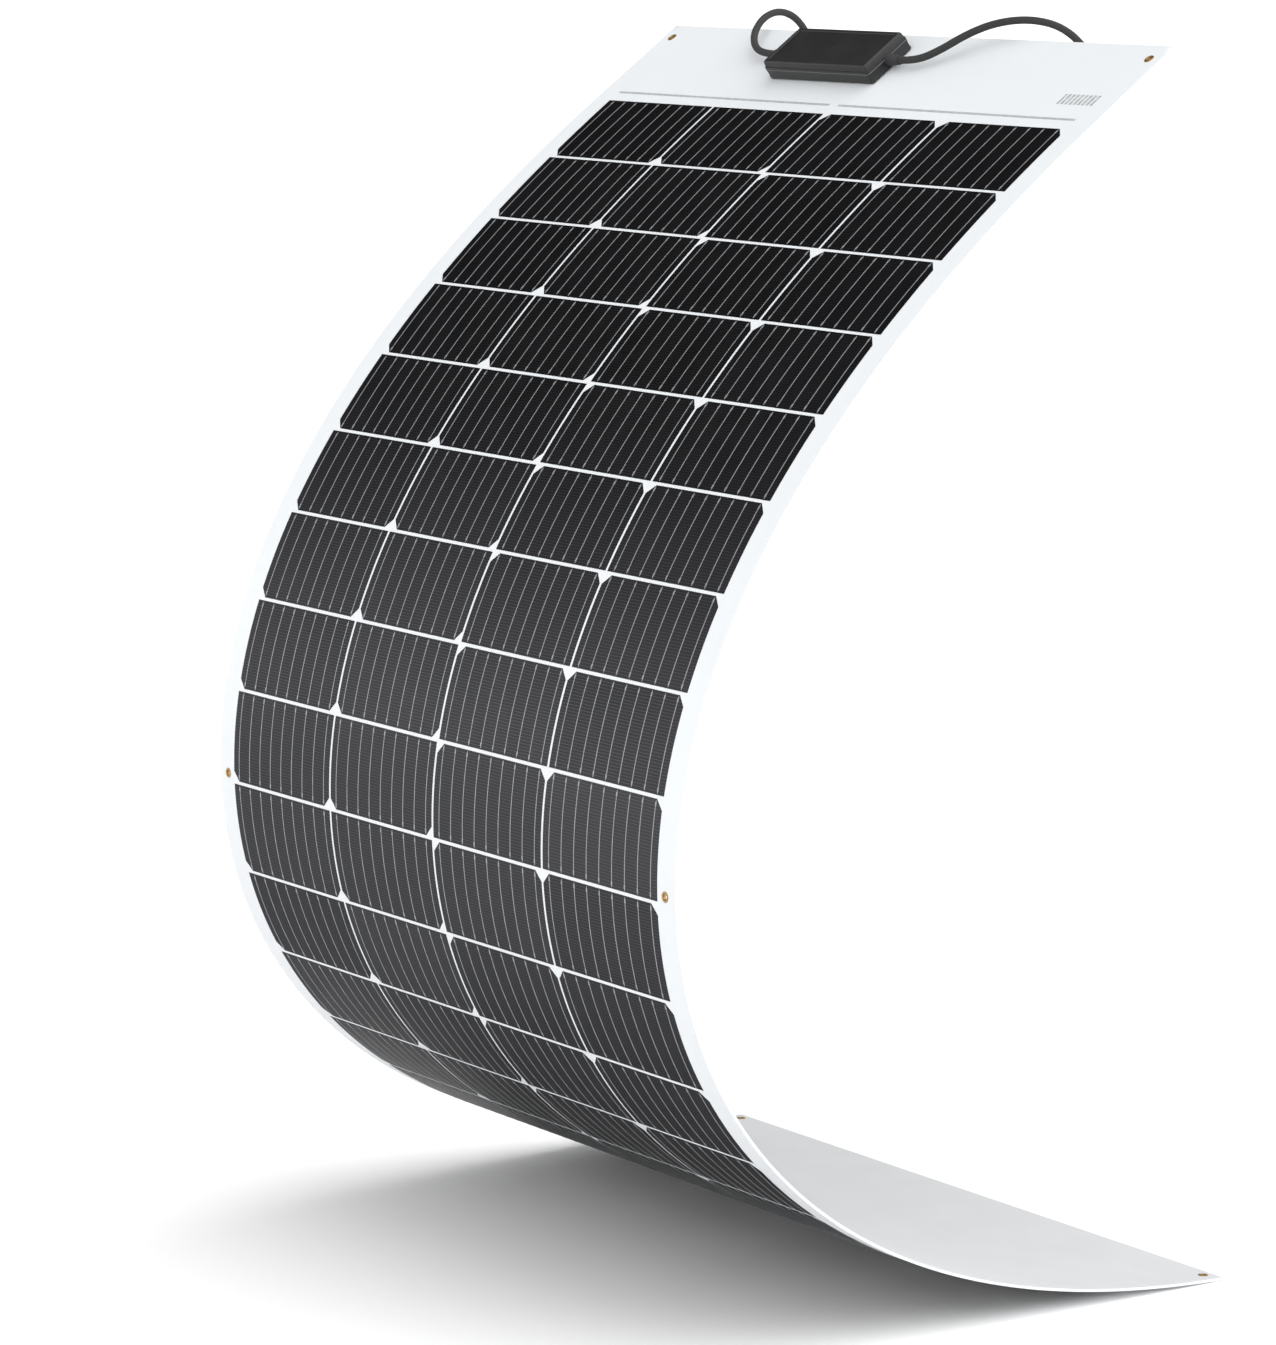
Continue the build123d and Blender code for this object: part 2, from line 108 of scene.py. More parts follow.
BEND_STATIONS = 9  # points along half a cell, so that it follows the bend
SINK = 0.05 * MM  # how deep a thin piece is let into what carries it

BUS_RISE = 8.0 * MM
BUS_SPLIT = 12.0 * MM
TOP_BUS_DOWN = -CELL_GAP - BUS_RISE
BOTTOM_BUS_DOWN = CELLS_LENGTH + BUS_RISE

BOX_LENGTH = 146.0 * MM
BOX_WIDTH = 52.0 * MM
BOX_CORNER = 3.0 * MM
BOX_BASE_HEIGHT = 9.0 * MM
BOX_SEAL_THICKNESS = 0.8 * MM
BOX_ACROSS = 49.0 * MM
BOX_FROM_TOP = 44.0 * MM
PAD_THICKNESS = 1.0 * MM

GLAND_HEIGHT = 7.5 * MM
GLAND_LENGTH = 14.0 * MM
COIL_RADIUS = 35.0 * MM
NEAR_COIL = (-30.0 * MM, 35.0 * MM, -98.0 * MM)
FAR_COIL = (170.0 * MM, 45.0 * MM, -88.0 * MM)
TAIL_LENGTH = 46.0 * MM


def linear(code):
    """An sRGB hex colour as three linear values: divided by 12.92 below 0.04045, else to the 2.4."""
    shares = np.array([int(code[i : i + 2], 16) for i in (1, 3, 5)]) / 255
    return tuple(np.where(shares <= 0.04045, shares / 12.92, ((shares + 0.055) / 1.055) ** 2.4))


# ---- shape of the bend ----
def slope(line):
    """Slope at a row line in radians, 0 where the sheet hangs straight down."""
    return radians(SLOPE_AT_TIGHTEST + SLOPE_SPREAD * atan((line - TIGHTEST_ROW) / BEND_SPREAD_ROWS))


SLOPES = np.array([slope(line) for line in range(ROWS + 1)])
TURNS = np.diff(SLOPES)
CHORDS = 2 * ROW_PITCH / TURNS * np.sin(TURNS / 2)
HEADINGS = SLOPES[:-1] + TURNS / 2
LINE_X = np.concatenate([[0.0], np.cumsum(CHORDS * np.sin(HEADINGS))])
LINE_Z = np.concatenate([[0.0], np.cumsum(-CHORDS * np.cos(HEADINGS))])


def bend(down, out):
    """x, z and slope before the origin is placed.

    Each row of cells is an arc: its chord is the arc's length times the sine of half its turn over
    half its turn, along the mean slope. The header and footer go on straight.
    """
    row = np.clip(np.floor(down / ROW_PITCH), 0, ROWS - 1).astype(int)
    along = np.clip(down - row * ROW_PITCH, 0, ROW_PITCH)
    beyond = down - row * ROW_PITCH - along
    turned = TURNS[row] * along / ROW_PITCH
    chord = along * np.sinc(turned / 2 / pi)
    heading = SLOPES[row] + turned / 2
    here = SLOPES[row] + turned
    x = LINE_X[row] + chord * np.sin(heading) + beyond * np.sin(here) - out * np.cos(here)
    z = LINE_Z[row] - chord * np.cos(heading) - beyond * np.cos(here) - out * np.sin(here)
    return x, z, here


PLACES = np.linspace(TOP_EDGE, BOTTOM_EDGE, BALANCE_STEPS + 1)
FACES = [bend(PLACES, INNER), bend(PLACES, OUTER)]
MIDDLE_X = (min(f[0].min() for f in FACES) + max(f[0].max() for f in FACES)) / 2
LOWEST_Z = min(f[1].min() for f in FACES)


def on_sheet(across, down, out):
    """Points on the bent sheet, for arrays of distances across it, down it and out of it."""
    across, down, out = np.broadcast_arrays(across, down, out)
    x, z, _ = bend(down.astype(float), out)
    return np.stack([x - MIDDLE_X, across, z - LOWEST_Z], axis=-1)


def over_header(across, from_top, out):
    """Point over the header: across, down from the top edge, out from its sunny face."""
    return on_sheet(across, TOP_EDGE + from_top, OUTER + out)


def from_edge(across, behind, above):
    """Point seen from the top edge: across, horizontally behind it and straight above it."""
    x, _, z = on_sheet(0.0, TOP_EDGE, OUTER)
    return np.array([x + behind, across, z + above])


# Stretches of the laminate: a plain one on the first and the last strip, and between them one for
# each pair of neighbouring strips, from the middle of the one to the middle of the other.
STRIPS = list(zip(STRIP_LINES[:-1], STRIP_LINES[1:]))
STRIP_MIDDLES = [(first + last) / 2 * ROW_PITCH for first, last in STRIPS]
BODIES = [f"strip_{number:02d}" for number in range(1, len(STRIPS) + 1)]
STRETCHES = [
    (TOP_EDGE, STRIP_MIDDLES[0], BODIES[:1]),
    *zip(STRIP_MIDDLES[:-1], STRIP_MIDDLES[1:], zip(BODIES[:-1], BODIES[1:])),
    (STRIP_MIDDLES[-1], BOTTOM_EDGE, BODIES[-1:]),
]


def hold(piece, start, end, bodies):
    """The piece rides on its one strip; one that lies between two strips has its transform baked into
    its points.
    """
    if len(bodies) == 1:
        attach(piece, bodies[0])
    else:
        on_sheet(0.0, start, 0.0)
        on_sheet(0.0, end, 0.0)
        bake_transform(piece)


def body_at(down):
    """The strip that holds a place on the sheet."""
    line = np.clip(down / ROW_PITCH, 0, ROWS - MICRON)
    return BODIES[[first <= line < last for first, last in STRIPS].index(True)]


# ---- surfaces ----
def grid_faces(rows, columns):
    """Corner numbers of each face of a grid of points."""
    corner = (np.arange(rows - 1)[:, None] * columns + np.arange(columns - 1)).ravel()
    return np.stack([corner, corner + 1, corner + columns + 1, corner + columns], axis=1)


def grids(places):
    """Flat layouts joined into one: an array of grids of (across, down) becomes points and faces."""
    count, rows, columns, _ = places.shape
    one = grid_faces(rows, columns)
    faces = (one[None] + (np.arange(count) * rows * columns)[:, None, None]).reshape(-1, 4)
    return places.reshape(-1, 2), faces


def weld(places, faces):
    """Joins points that lie within a micrometre. Also says which of the old ones each new one is."""
    steps = np.round(places / MICRON).astype(np.int64)
    _, kept, merged = np.unique(steps, axis=0, return_index=True, return_inverse=True)
    return places[kept], merged.ravel()[faces], kept


def plate(places, faces, low, high):
    """A flat layout made a closed plate that follows the sheet.

    The faces lie on the sheet at `high`, once more turned over at `low`, and a wall stands under
    each edge that only one face has. Returns points, faces and 1 for each face of the underside.
    """
    corners = places[faces]
    after = np.roll(corners, -1, axis=1)
    area = (corners[..., 0] * after[..., 1] - after[..., 0] * corners[..., 1]).sum(axis=1)
    faces = np.where(area[:, None] > 0, faces, faces[:, ::-1])
    count = len(places)
    edges = np.stack([faces, np.roll(faces, -1, axis=1)], axis=-1).reshape(-1, 2)
    there = edges[:, 0] * count + edges[:, 1]
    back = edges[:, 1] * count + edges[:, 0]
    rim = edges[~np.isin(there, back)]
    walls = np.stack([rim[:, 0], rim[:, 0] + count, rim[:, 1] + count, rim[:, 1]], axis=1)
    points = np.concatenate([
        on_sheet(places[:, 0], places[:, 1], high),
        on_sheet(places[:, 0], places[:, 1], low),
    ])
    underside = np.repeat([0, 1, 0], [len(faces), len(faces), len(walls)])
    return points, np.concatenate([faces, faces[:, ::-1] + count, walls]), underside


def loft(rings):
    """Closed faces round a stack of rings, an array of rings by points by 3, without its ends."""
    stack, around = rings.shape[:2]
    corner = np.arange(stack - 1)[:, None] * around + np.arange(around)
    beside = np.arange(stack - 1)[:, None] * around + (np.arange(around) + 1) % around
    faces = np.stack([corner, beside, beside + around, corner + around], axis=-1)
    return rings.reshape(-1, 3), faces.reshape(-1, 4)


def build(name, points, faces, materials, kinds=None, crease=35.0):
    """A mesh object at the origin from arrays of points and four-cornered faces."""
    mesh = bpy.data.meshes.new(name)
    mesh.vertices.add(len(points))
    mesh.vertices.foreach_set("co", np.ascontiguousarray(points, np.float32).ravel())
    mesh.loops.add(faces.size)
    mesh.loops.foreach_set("vertex_index", np.ascontiguousarray(faces, np.int32).ravel())
    mesh.polygons.add(len(faces))
    mesh.polygons.foreach_set("loop_start", np.arange(0, faces.size, 4, dtype=np.int32))
    for material in materials:
        mesh.materials.append(material)
    if kinds is not None:
        mesh.polygons.foreach_set("material_index", kinds.astype(np.int32))
    mesh.polygons.foreach_set("use_smooth", np.ones(len(faces), bool))
    mesh.update(calc_edges=True)
    mesh.set_sharp_from_angle(angle=radians(crease))
    piece = bpy.data.objects.new(name, mesh)
    bpy.context.scene.collection.objects.link(piece)
    return piece


def lay_out(piece, name, places):
    """Keeps each point's flat place, in metres, as the piece's UV map."""
    mesh = piece.data
    corners = np.empty(len(mesh.loops), np.int32)
    mesh.loops.foreach_get("vertex_index", corners)
    layer = mesh.uv_layers.new(name=name)
    layer.data.foreach_set("uv", places[corners].astype(np.float32).ravel())


# ---- materials ----
def add_node(tree, kind, settings=None, links=None):
    """One node, its settings by attribute, input name or input number, and links into its inputs."""
    node = tree.nodes.new(kind)
    for name, value in (settings or {}).items():
        if isinstance(name, str) and hasattr(node, name):
            setattr(node, name, value)
        else:
            node.inputs[name].default_value = value
    for name, source in (links or {}).items():
        tree.links.new(source, node.inputs[name])
    return node


def blank(name):
    """An empty material, its node tree and the object coordinates, which are metres here."""
    material = bpy.data.materials.new(name)
    material.use_nodes = True
    tree = material.node_tree
    tree.nodes.clear()
    return material, tree, add_node(tree, "ShaderNodeTexCoord").outputs["Object"]


def opaque(colour):
    """A colour from the panel with its fourth value."""
    return (*colour, 1.0)


# A colour Mix node's inputs and output go by number, since its names repeat for each data type.
MIX_FACTOR, MIX_FIRST, MIX_SECOND, MIX_RESULT = 0, 6, 7, 2


def moulded(colour, grain, roughness):
    """Recipe of a black or grey moulding: an even skin, a fine grain and faint dust in clouds."""
    return {
        "colours": (colour, "dust"),
        "clouds": (18 * MM, 5.0),
        "blend": (0.45, 0.8, 0.35),
        "gloss": (roughness - 0.06, roughness + 0.08),
        "grain": (grain, 2.0, 0.35, 0.04 * MM),
        "shader": {"IOR": 1.5},
    }


# Recipes, for `clouded` below. A grain is drawn a few times its real size, so that it shows.
RECIPES = {
    # Embossed fluoropolymer film over white laminate: satin white with a soft broken gloss. The
    # resin's thickness changes over about 120 mm. The roller's emboss is near 0.4 mm.
    "film_over_laminate": {
        "colours": ("laminate", "laminate_shade"),
        "clouds": (120 * MM, 3.0),
        "gloss": (0.4, 0.55),
        "grain": (1.6 * MM, 2.0, 0.25, 0.05 * MM),
        "shader": {"IOR": 1.42, "Coat Weight": 0.4, "Coat Roughness": 0.28, "Coat IOR": 1.42},
    },
    # Cast polyester back sheet: even matte white in truth, here painted a light grey that stands for
    # the shade on the side turned from the light, with slow grey clouds and a grain near 0.3 mm.
    "matte_back_sheet": {
        "colours": ("back_sheet", "back_shade"),
        "clouds": (60 * MM, 4.0),
        "gloss": (0.62, 0.62),
        "grain": (1.2 * MM, 3.0, 0.3, 0.04 * MM),
        "shader": {"IOR": 1.57},
    },
    # Hot-dipped tinned copper ribbon: dull silver, with 5 mm clouds where the tin set.
    "tinned_ribbon": {
        "colours": ("ribbon", "ribbon_shade"),
        "clouds": (5 * MM, 3.0),
        "gloss": (0.38, 0.6),
        "shader": {"Metallic": 0.35},
    },
    # The same ribbon seen through the milky film of the header: paler and softer.
    "ribbon_under_film": {
        "colours": ("covered_ribbon", "ribbon"),
        "clouds": (5 * MM, 3.0),
        "gloss": (0.38, 0.6),
        "shader": {"Metallic": 0.35},
    },
    # Rolled brass: warm satin metal, browner in 2.5 mm patches where it has tarnished.
    "rolled_brass": {
        "colours": ("brass", "brass_tarnish"),
        "clouds": (2.5 * MM, 4.0),
        "gloss": (0.25, 0.45),
        "shader": {"Metallic": 1.0},
    },
    # Blended engineering plastic of the box, spark-eroded near 0.3 mm: an even satin black.
    "box_plastic": moulded("box_plastic", 0.8 * MM, 0.5),
    # Nylon of the glands, nuts and ties: a little glossier.
    "black_nylon": moulded("black_nylon", 1.2 * MM, 0.42),
    # Cross-linked cable jacket: matte, with the extruder's soft ripple.
    "cable_jacket": moulded("cable_jacket", 2.5 * MM, 0.5),
    # Cured silicone of the seal and the bedding pad: dull and slightly mottled.
    "silicone_rubber": moulded("silicone_rubber", 1.5 * MM, 0.65),
    # Transfer-moulded epoxy of the diodes: smooth, hard and dark.
    "diode_epoxy": moulded("diode_epoxy", 0.6 * MM, 0.35),
}


def clouded(name, colours, clouds, gloss, shader, blend=(0.0, 1.0, 1.0), grain=None):
    """A finish whose colour and roughness drift between two values, as slow clouds say.

    clouds: their size and detail. blend: where between 0 and 1 the second colour starts to show
    and where it is full, and how strong it is then. gloss: the lowest and highest roughness.
    grain: its size, detail, strength and depth.
    """
    material, tree, place = blank(name)
    shades = [opaque(getattr(bpy.context.scene.solar_sheet_colours, part)) for part in colours]
    cloud = add_node(
        tree, "ShaderNodeTexNoise", {"Scale": 1 / clouds[0], "Detail": clouds[1]},
        {"Vector": place})
    share = add_node(
        tree, "ShaderNodeMapRange", {"From Min": blend[0], "From Max": blend[1], "To Max": blend[2]},
        {"Value": cloud.outputs["Fac"]})
    tint = add_node(
        tree, "ShaderNodeMix",
        {"data_type": "RGBA", MIX_FIRST: shades[0], MIX_SECOND: shades[1]},
        {MIX_FACTOR: share.outputs[0]})
    sheen = add_node(
        tree, "ShaderNodeMapRange", {"To Min": gloss[0], "To Max": gloss[1]},
        {"Value": cloud.outputs["Fac"]})
    links = {"Base Color": tint.outputs[MIX_RESULT], "Roughness": sheen.outputs[0]}
    if grain:
        size, detail, strength, depth = grain
        bumps = add_node(
            tree, "ShaderNodeTexNoise", {"Scale": 1 / size, "Detail": detail}, {"Vector": place})
        relief = add_node(
            tree, "ShaderNodeBump", {"Strength": strength, "Distance": depth},
            {"Height": bumps.outputs["Fac"]})
        links["Normal"] = relief.outputs[0]
    surface = add_node(tree, "ShaderNodeBsdfPrincipled", shader, links)
    add_node(tree, "ShaderNodeOutputMaterial", {}, {"Surface": surface.outputs[0]})
    return material


def silicon_under_film(colours, sizes):
    """Etched monocrystalline silicon under clear film: near black, with fine silver fingers.

    Silicon reflects like a dark metal, which gives an even grey sheen at every angle.
    """
    material, tree, place = blank("silicon_under_film")
    flat = add_node(tree, "ShaderNodeUVMap", {"uv_map": "cell_place"})
    split = add_node(tree, "ShaderNodeSeparateXYZ", {}, {"Vector": flat.outputs[0]})
    # A finger is a line across the cell wherever the distance down it is near a whole spacing.
    near = add_node(
        tree, "ShaderNodeMath", {"operation": "PINGPONG", 1: sizes.finger_spacing / 2},
        {0: split.outputs["Y"]})
    finger = add_node(
        tree, "ShaderNodeMath", {"operation": "LESS_THAN", 1: sizes.finger_width / 2},
        {0: near.outputs[0]})
    # A drawn finger is six times too wide, so it only lends a share of its silver.
    share = add_node(
        tree, "ShaderNodeMath", {"operation": "MULTIPLY", 1: 0.3}, {0: finger.outputs[0]})
    tone = add_node(tree, "ShaderNodeAttribute", {"attribute_name": "cell_tone"})
    wafer = add_node(
        tree, "ShaderNodeMix",
        {"data_type": "RGBA", MIX_FIRST: opaque(colours.cell), MIX_SECOND: opaque(colours.cell_light)},
        {MIX_FACTOR: tone.outputs["Fac"]})
    lined = add_node(
        tree, "ShaderNodeMix", {"data_type": "RGBA", MIX_SECOND: opaque(colours.finger)},
        {MIX_FACTOR: share.outputs[0], MIX_FIRST: wafer.outputs[MIX_RESULT]})
    # The etch shows as a slow cloud, about 30 mm across, in how sharply a cell reflects.
    etch = add_node(
        tree, "ShaderNodeTexNoise", {"Scale": 1 / (30 * MM), "Detail": 3.0}, {"Vector": place})
    sheen = add_node(
        tree, "ShaderNodeMapRange", {"To Min": 0.3, "To Max": 0.42}, {"Value": etch.outputs["Fac"]})
    ripple = add_node(
        tree, "ShaderNodeBump", {"Strength": 0.2, "Distance": 0.05 * MM},
        {"Height": etch.outputs["Fac"]})
    shader = add_node(
        tree, "ShaderNodeBsdfPrincipled",
        {"Metallic": 1.0, "Specular Tint": (0.5, 0.5, 0.5, 1.0)},
        {"Base Color": lined.outputs[MIX_RESULT], "Roughness": sheen.outputs[0],
         "Normal": ripple.outputs[0]})
    add_node(tree, "ShaderNodeOutputMaterial", {}, {"Surface": shader.outputs[0]})
    return material


def printed_label(colours):
    """Matte vinyl label: pale grey, with plain darker bars that fade where the ink is thin."""
    material, tree, place = blank("printed_label")
    flat = add_node(tree, "ShaderNodeUVMap", {"uv_map": "label_place"})
    split = add_node(tree, "ShaderNodeSeparateXYZ", {}, {"Vector": flat.outputs[0]})
    # Printed bars are near 0.5 mm; these are 2.6 mm, as wide as their gaps, so that they show.
    bar_width = 2.6 * MM
    bar = add_node(
        tree, "ShaderNodeMath", {"operation": "PINGPONG", 1: bar_width}, {0: split.outputs["X"]})
    inked = add_node(
        tree, "ShaderNodeMath", {"operation": "LESS_THAN", 1: bar_width / 2}, {0: bar.outputs[0]})
    speck = add_node(
        tree, "ShaderNodeTexNoise", {"Scale": 1 / (3 * MM), "Detail": 2.0}, {"Vector": place})
    share = add_node(
        tree, "ShaderNodeMath", {"operation": "MULTIPLY"},
        {0: inked.outputs[0], 1: speck.outputs["Fac"]})
    tint = add_node(
        tree, "ShaderNodeMix",
        {"data_type": "RGBA", MIX_FIRST: opaque(colours.label), MIX_SECOND: opaque(colours.label_ink)},
        {MIX_FACTOR: share.outputs[0]})
    shader = add_node(
        tree, "ShaderNodeBsdfPrincipled", {"IOR": 1.5, "Roughness": 0.55},
        {"Base Color": tint.outputs[MIX_RESULT]})
    add_node(tree, "ShaderNodeOutputMaterial", {}, {"Surface": shader.outputs[0]})
    return material


def finish(name):
    """The material of that name, made on first use from the colours and sizes in the panel."""
    if name in bpy.data.materials:
        return bpy.data.materials[name]
    scene = bpy.context.scene
    if name == "silicon_under_film":
        return silicon_under_film(scene.solar_sheet_colours, scene.solar_sheet_sizes)
    if name == "printed_label":
        return printed_label(scene.solar_sheet_colours)
    return clouded(name, **RECIPES[name])


# ---- laminate and cells ----
def board_places(start, end, eyelets):
    """Flat layout of one stretch, with a round hole for each eyelet.

    The grid has no faces in a square round each eyelet. There, rings of points blend from the
    square's edge to the hole: each is a share of the way from its edge point to the circle.
    """
    reach = 7.5 * MM  # half the square round an eyelet
    divisions = 6  # faces along each side of that square
    station = 5.0 * MM
    rim = 0.5 * MM  # the edge's eased band, and the least distance between two grid lines
    hole = EYELET_BARREL_RADIUS + EYELET_PLAY
    patch = np.linspace(-reach, reach, divisions + 1)
    down = np.linspace(start, end, round((end - start) / station) + 1)
    edge = SHEET_WIDTH / 2
    across = np.array([-edge, -edge + rim, -edge / 3, edge / 3, edge - rim, edge])
    for spot in {spot[1] for spot in eyelets}:
        clear = np.abs(down - spot) > reach + rim
        clear[[0, -1]] = True
        down = np.concatenate([down[clear], spot + patch])
    for spot in {spot[0] for spot in eyelets}:
        across = np.concatenate([across, spot + patch])
    down = np.sort(down)
    across = np.sort(across)
    places = np.stack(np.meshgrid(across, down), axis=-1)
    points, faces = grids(places[None])
    for spot in eyelets:
        middles = points[faces].mean(axis=1)
        faces = faces[np.abs(middles - spot).max(axis=1) > reach]
    side = 2 * reach
    walked = np.arange(4 * divisions + 1) * side / divisions
    corners = np.arange(5) * side
    square = np.stack([
        np.interp(walked, corners, [-reach, reach, reach, -reach, -reach]),
        np.interp(walked, corners, [-reach, -reach, reach, reach, -reach]),
    ], axis=-1)
    circle = square * hole / np.linalg.norm(square, axis=1, keepdims=True)
    share = np.linspace(0, 1, 4)[:, None, None]  # four rings from the square to the hole
    ring = square * (1 - share) + circle * share
    for spot in eyelets:
        more, more_faces = grids((ring + np.array(spot))[None])
        faces = np.concatenate([faces, more_faces + len(points)])
        points = np.concatenate([points, more])
    return weld(points, faces)[:2]


def make_boards():
    """The laminate's white body, one closed plate a stretch, with its long edges eased."""
    ease = 0.4 * MM
    for number, (start, end, bodies) in enumerate(STRETCHES, start=1):
        spots = [
            (side * EYELET_ACROSS, down)
            for down in EYELET_DOWN.values() if start < down < end
            for side in (-1, 1)
        ]
        places, faces = board_places(start, end, spots)
        at_edge = np.abs(places[:, 0]) > SHEET_WIDTH / 2 - MICRON
        at_edge |= places[:, 1] < TOP_EDGE + MICRON
        at_edge |= places[:, 1] > BOTTOM_EDGE - MICRON
        points, faces, kinds = plate(
            places, faces, INNER + ease * at_edge, OUTER - ease * at_edge)
        board = build(
            f"laminate_{number:02d}", points, faces,
            [finish("film_over_laminate"), finish("matte_back_sheet")], kinds)
        hold(board, start, end, bodies)
        strip = min(number, len(STRIPS))
        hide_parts(f"back_sheet_{strip:02d}", f"front_film_{strip:02d}")


def column_middle(column):
    """Middle of a column of cells; the first is on the +Y side."""
    return ((COLUMNS - 1) / 2 - column) * COLUMN_PITCH


def half_rows(start, end):
    """The half rows of cells in a stretch: (row, -1 for its upper half or 1 for its lower)."""
    halves = [(row, way) for row in range(ROWS) for way in (-1, 1)]
    middles = [(row + 0.5) * ROW_PITCH + way * CELL_LENGTH / 4 for row, way in halves]
    return [half for half, middle in zip(halves, middles) if start < middle < end]


def cell_grids(start, end, thickness):
    """Half cells as grids from a row's middle to its edge, with their places in their own cell.

    The edge is a straight line that steps in by the chamfer at the wafer's two cropped corners.
    """
    side = CELL_WIDTH / 2
    over = np.array([-side, -side + CELL_CHAMFER, 0.0, side - CELL_CHAMFER, side])
    share = np.linspace(0, 1, BEND_STATIONS)[:, None]
    laid = []
    local = []
    tones = []
    for row, way in half_rows(start, end):
        for column in range(COLUMNS):
            cropped = way == (1 if column < COLUMNS / 2 else -1)
            crop = CELL_CHAMFER * cropped * (np.abs(over) > side - MICRON)
            run = way * share * (CELL_LENGTH / 2 - crop)
            own = np.stack(np.broadcast_arrays(over, run), axis=-1)
            laid.append(own + [column_middle(column), (row + 0.5) * ROW_PITCH])
            local.append(own)
            # A cell's tone is a fixed shuffle of its row and column, from 0 to 1.
            tones.append(np.full(own.shape[:2], (sin(row * 12.9898 + column * 78.233) * 43758.5) % 1))
    places, faces = grids(np.array(laid))
    places, faces, kept = weld(places, faces)
    points, faces, _ = plate(places, faces, OUTER - 2 * SINK, OUTER + thickness)
    return points, faces, np.array(local).reshape(-1, 2)[kept], np.array(tones).ravel()[kept]


def make_cells():
    """Half-cut cells, one piece a stretch, each a thin closed plate with two cropped corners."""
    sizes = bpy.context.scene.solar_sheet_sizes
    for number, (start, end, bodies) in enumerate(STRETCHES, start=1):
        points, faces, local, tones = cell_grids(start, end, sizes.cell_rise)
        cells = build(f"half_cells_{number:02d}", points, faces, [finish("silicon_under_film")])
        lay_out(cells, "cell_place", np.concatenate([local, local]))
        tone = cells.data.attributes.new("cell_tone", "FLOAT", "POINT")
        tone.data.foreach_set("value", np.concatenate([tones, tones]).astype(np.float32))
        hold(cells, start, end, bodies)
        if number <= len(STRIPS):
            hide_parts(f"cells_{number:02d}")


def make_busbars():
    """Solder-coated ribbons down every cell, with a wider solder pad near each cell's edge."""
    sizes = bpy.context.scene.solar_sheet_sizes
    count = sizes.busbar_count
    over = (np.arange(count) - (count - 1) / 2) * CELL_WIDTH / count
    ribbon = np.array([-0.5, 0.5]) * sizes.busbar_width
    pad = np.array([-0.5, 0.5]) * sizes.pad_width
    share = np.linspace(0, 1, BEND_STATIONS)
    reach = CELL_LENGTH / 2 - sizes.busbar_inset
    pad_run = reach - sizes.pad_length * np.array([1.5, 0.5])
    base = OUTER + sizes.cell_rise
    for number, (start, end, bodies) in enumerate(STRETCHES, start=1):
        ribbons = []
        pads = []
        for row, way in half_rows(start, end):
            for column in range(COLUMNS):
                at = column_middle(column) + over[:, None, None]
                middle = (row + 0.5) * ROW_PITCH
                line = np.broadcast_arrays(at + ribbon, middle + way * share[:, None] * reach)
                dot = np.broadcast_arrays(at + pad, middle + way * pad_run[:, None])
                ribbons.append(np.stack(line, axis=-1))
                pads.append(np.stack(dot, axis=-1))
        places, faces = grids(np.concatenate(ribbons))
        places, faces, _ = weld(places, faces)
        low = base - SINK
        points, faces, _ = plate(places, faces, low, base + sizes.busbar_rise)
        dots, dot_faces = grids(np.concatenate(pads))
        more, more_faces, _ = plate(dots, dot_faces, low, base + 2 * sizes.busbar_rise)
        points = np.concatenate([points, more])
        faces = np.concatenate([faces, more_faces + len(points) - len(more)])
        busbars = build(f"busbars_{number:02d}", points, faces, [finish("tinned_ribbon")])
        hold(busbars, start, end, bodies)


def make_end_ribbons():
    """The flat ribbons that join the strings at each end of the sheet, one a pair of columns."""
    sizes = bpy.context.scene.solar_sheet_sizes
    edge = COLUMN_PITCH * COLUMNS / 2 - CELL_GAP
    width = np.array([-0.5, 0.5]) * sizes.end_ribbon_width
    for place, down in (("top", TOP_BUS_DOWN), ("bottom", BOTTOM_BUS_DOWN)):
        spans = np.array([
            np.stack(np.meshgrid(np.linspace(low, high, 9), down + width), axis=-1)
            for low, high in ((BUS_SPLIT / 2, edge), (-edge, -BUS_SPLIT / 2))
        ])
        points, faces, _ = plate(*grids(spans), OUTER - SINK, OUTER + sizes.busbar_rise)
        ribbons = build(f"{place}_end_ribbons", points, faces, [finish("ribbon_under_film")])
        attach(ribbons, body_at(down))
        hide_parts(f"{place}_bus_ribbons")


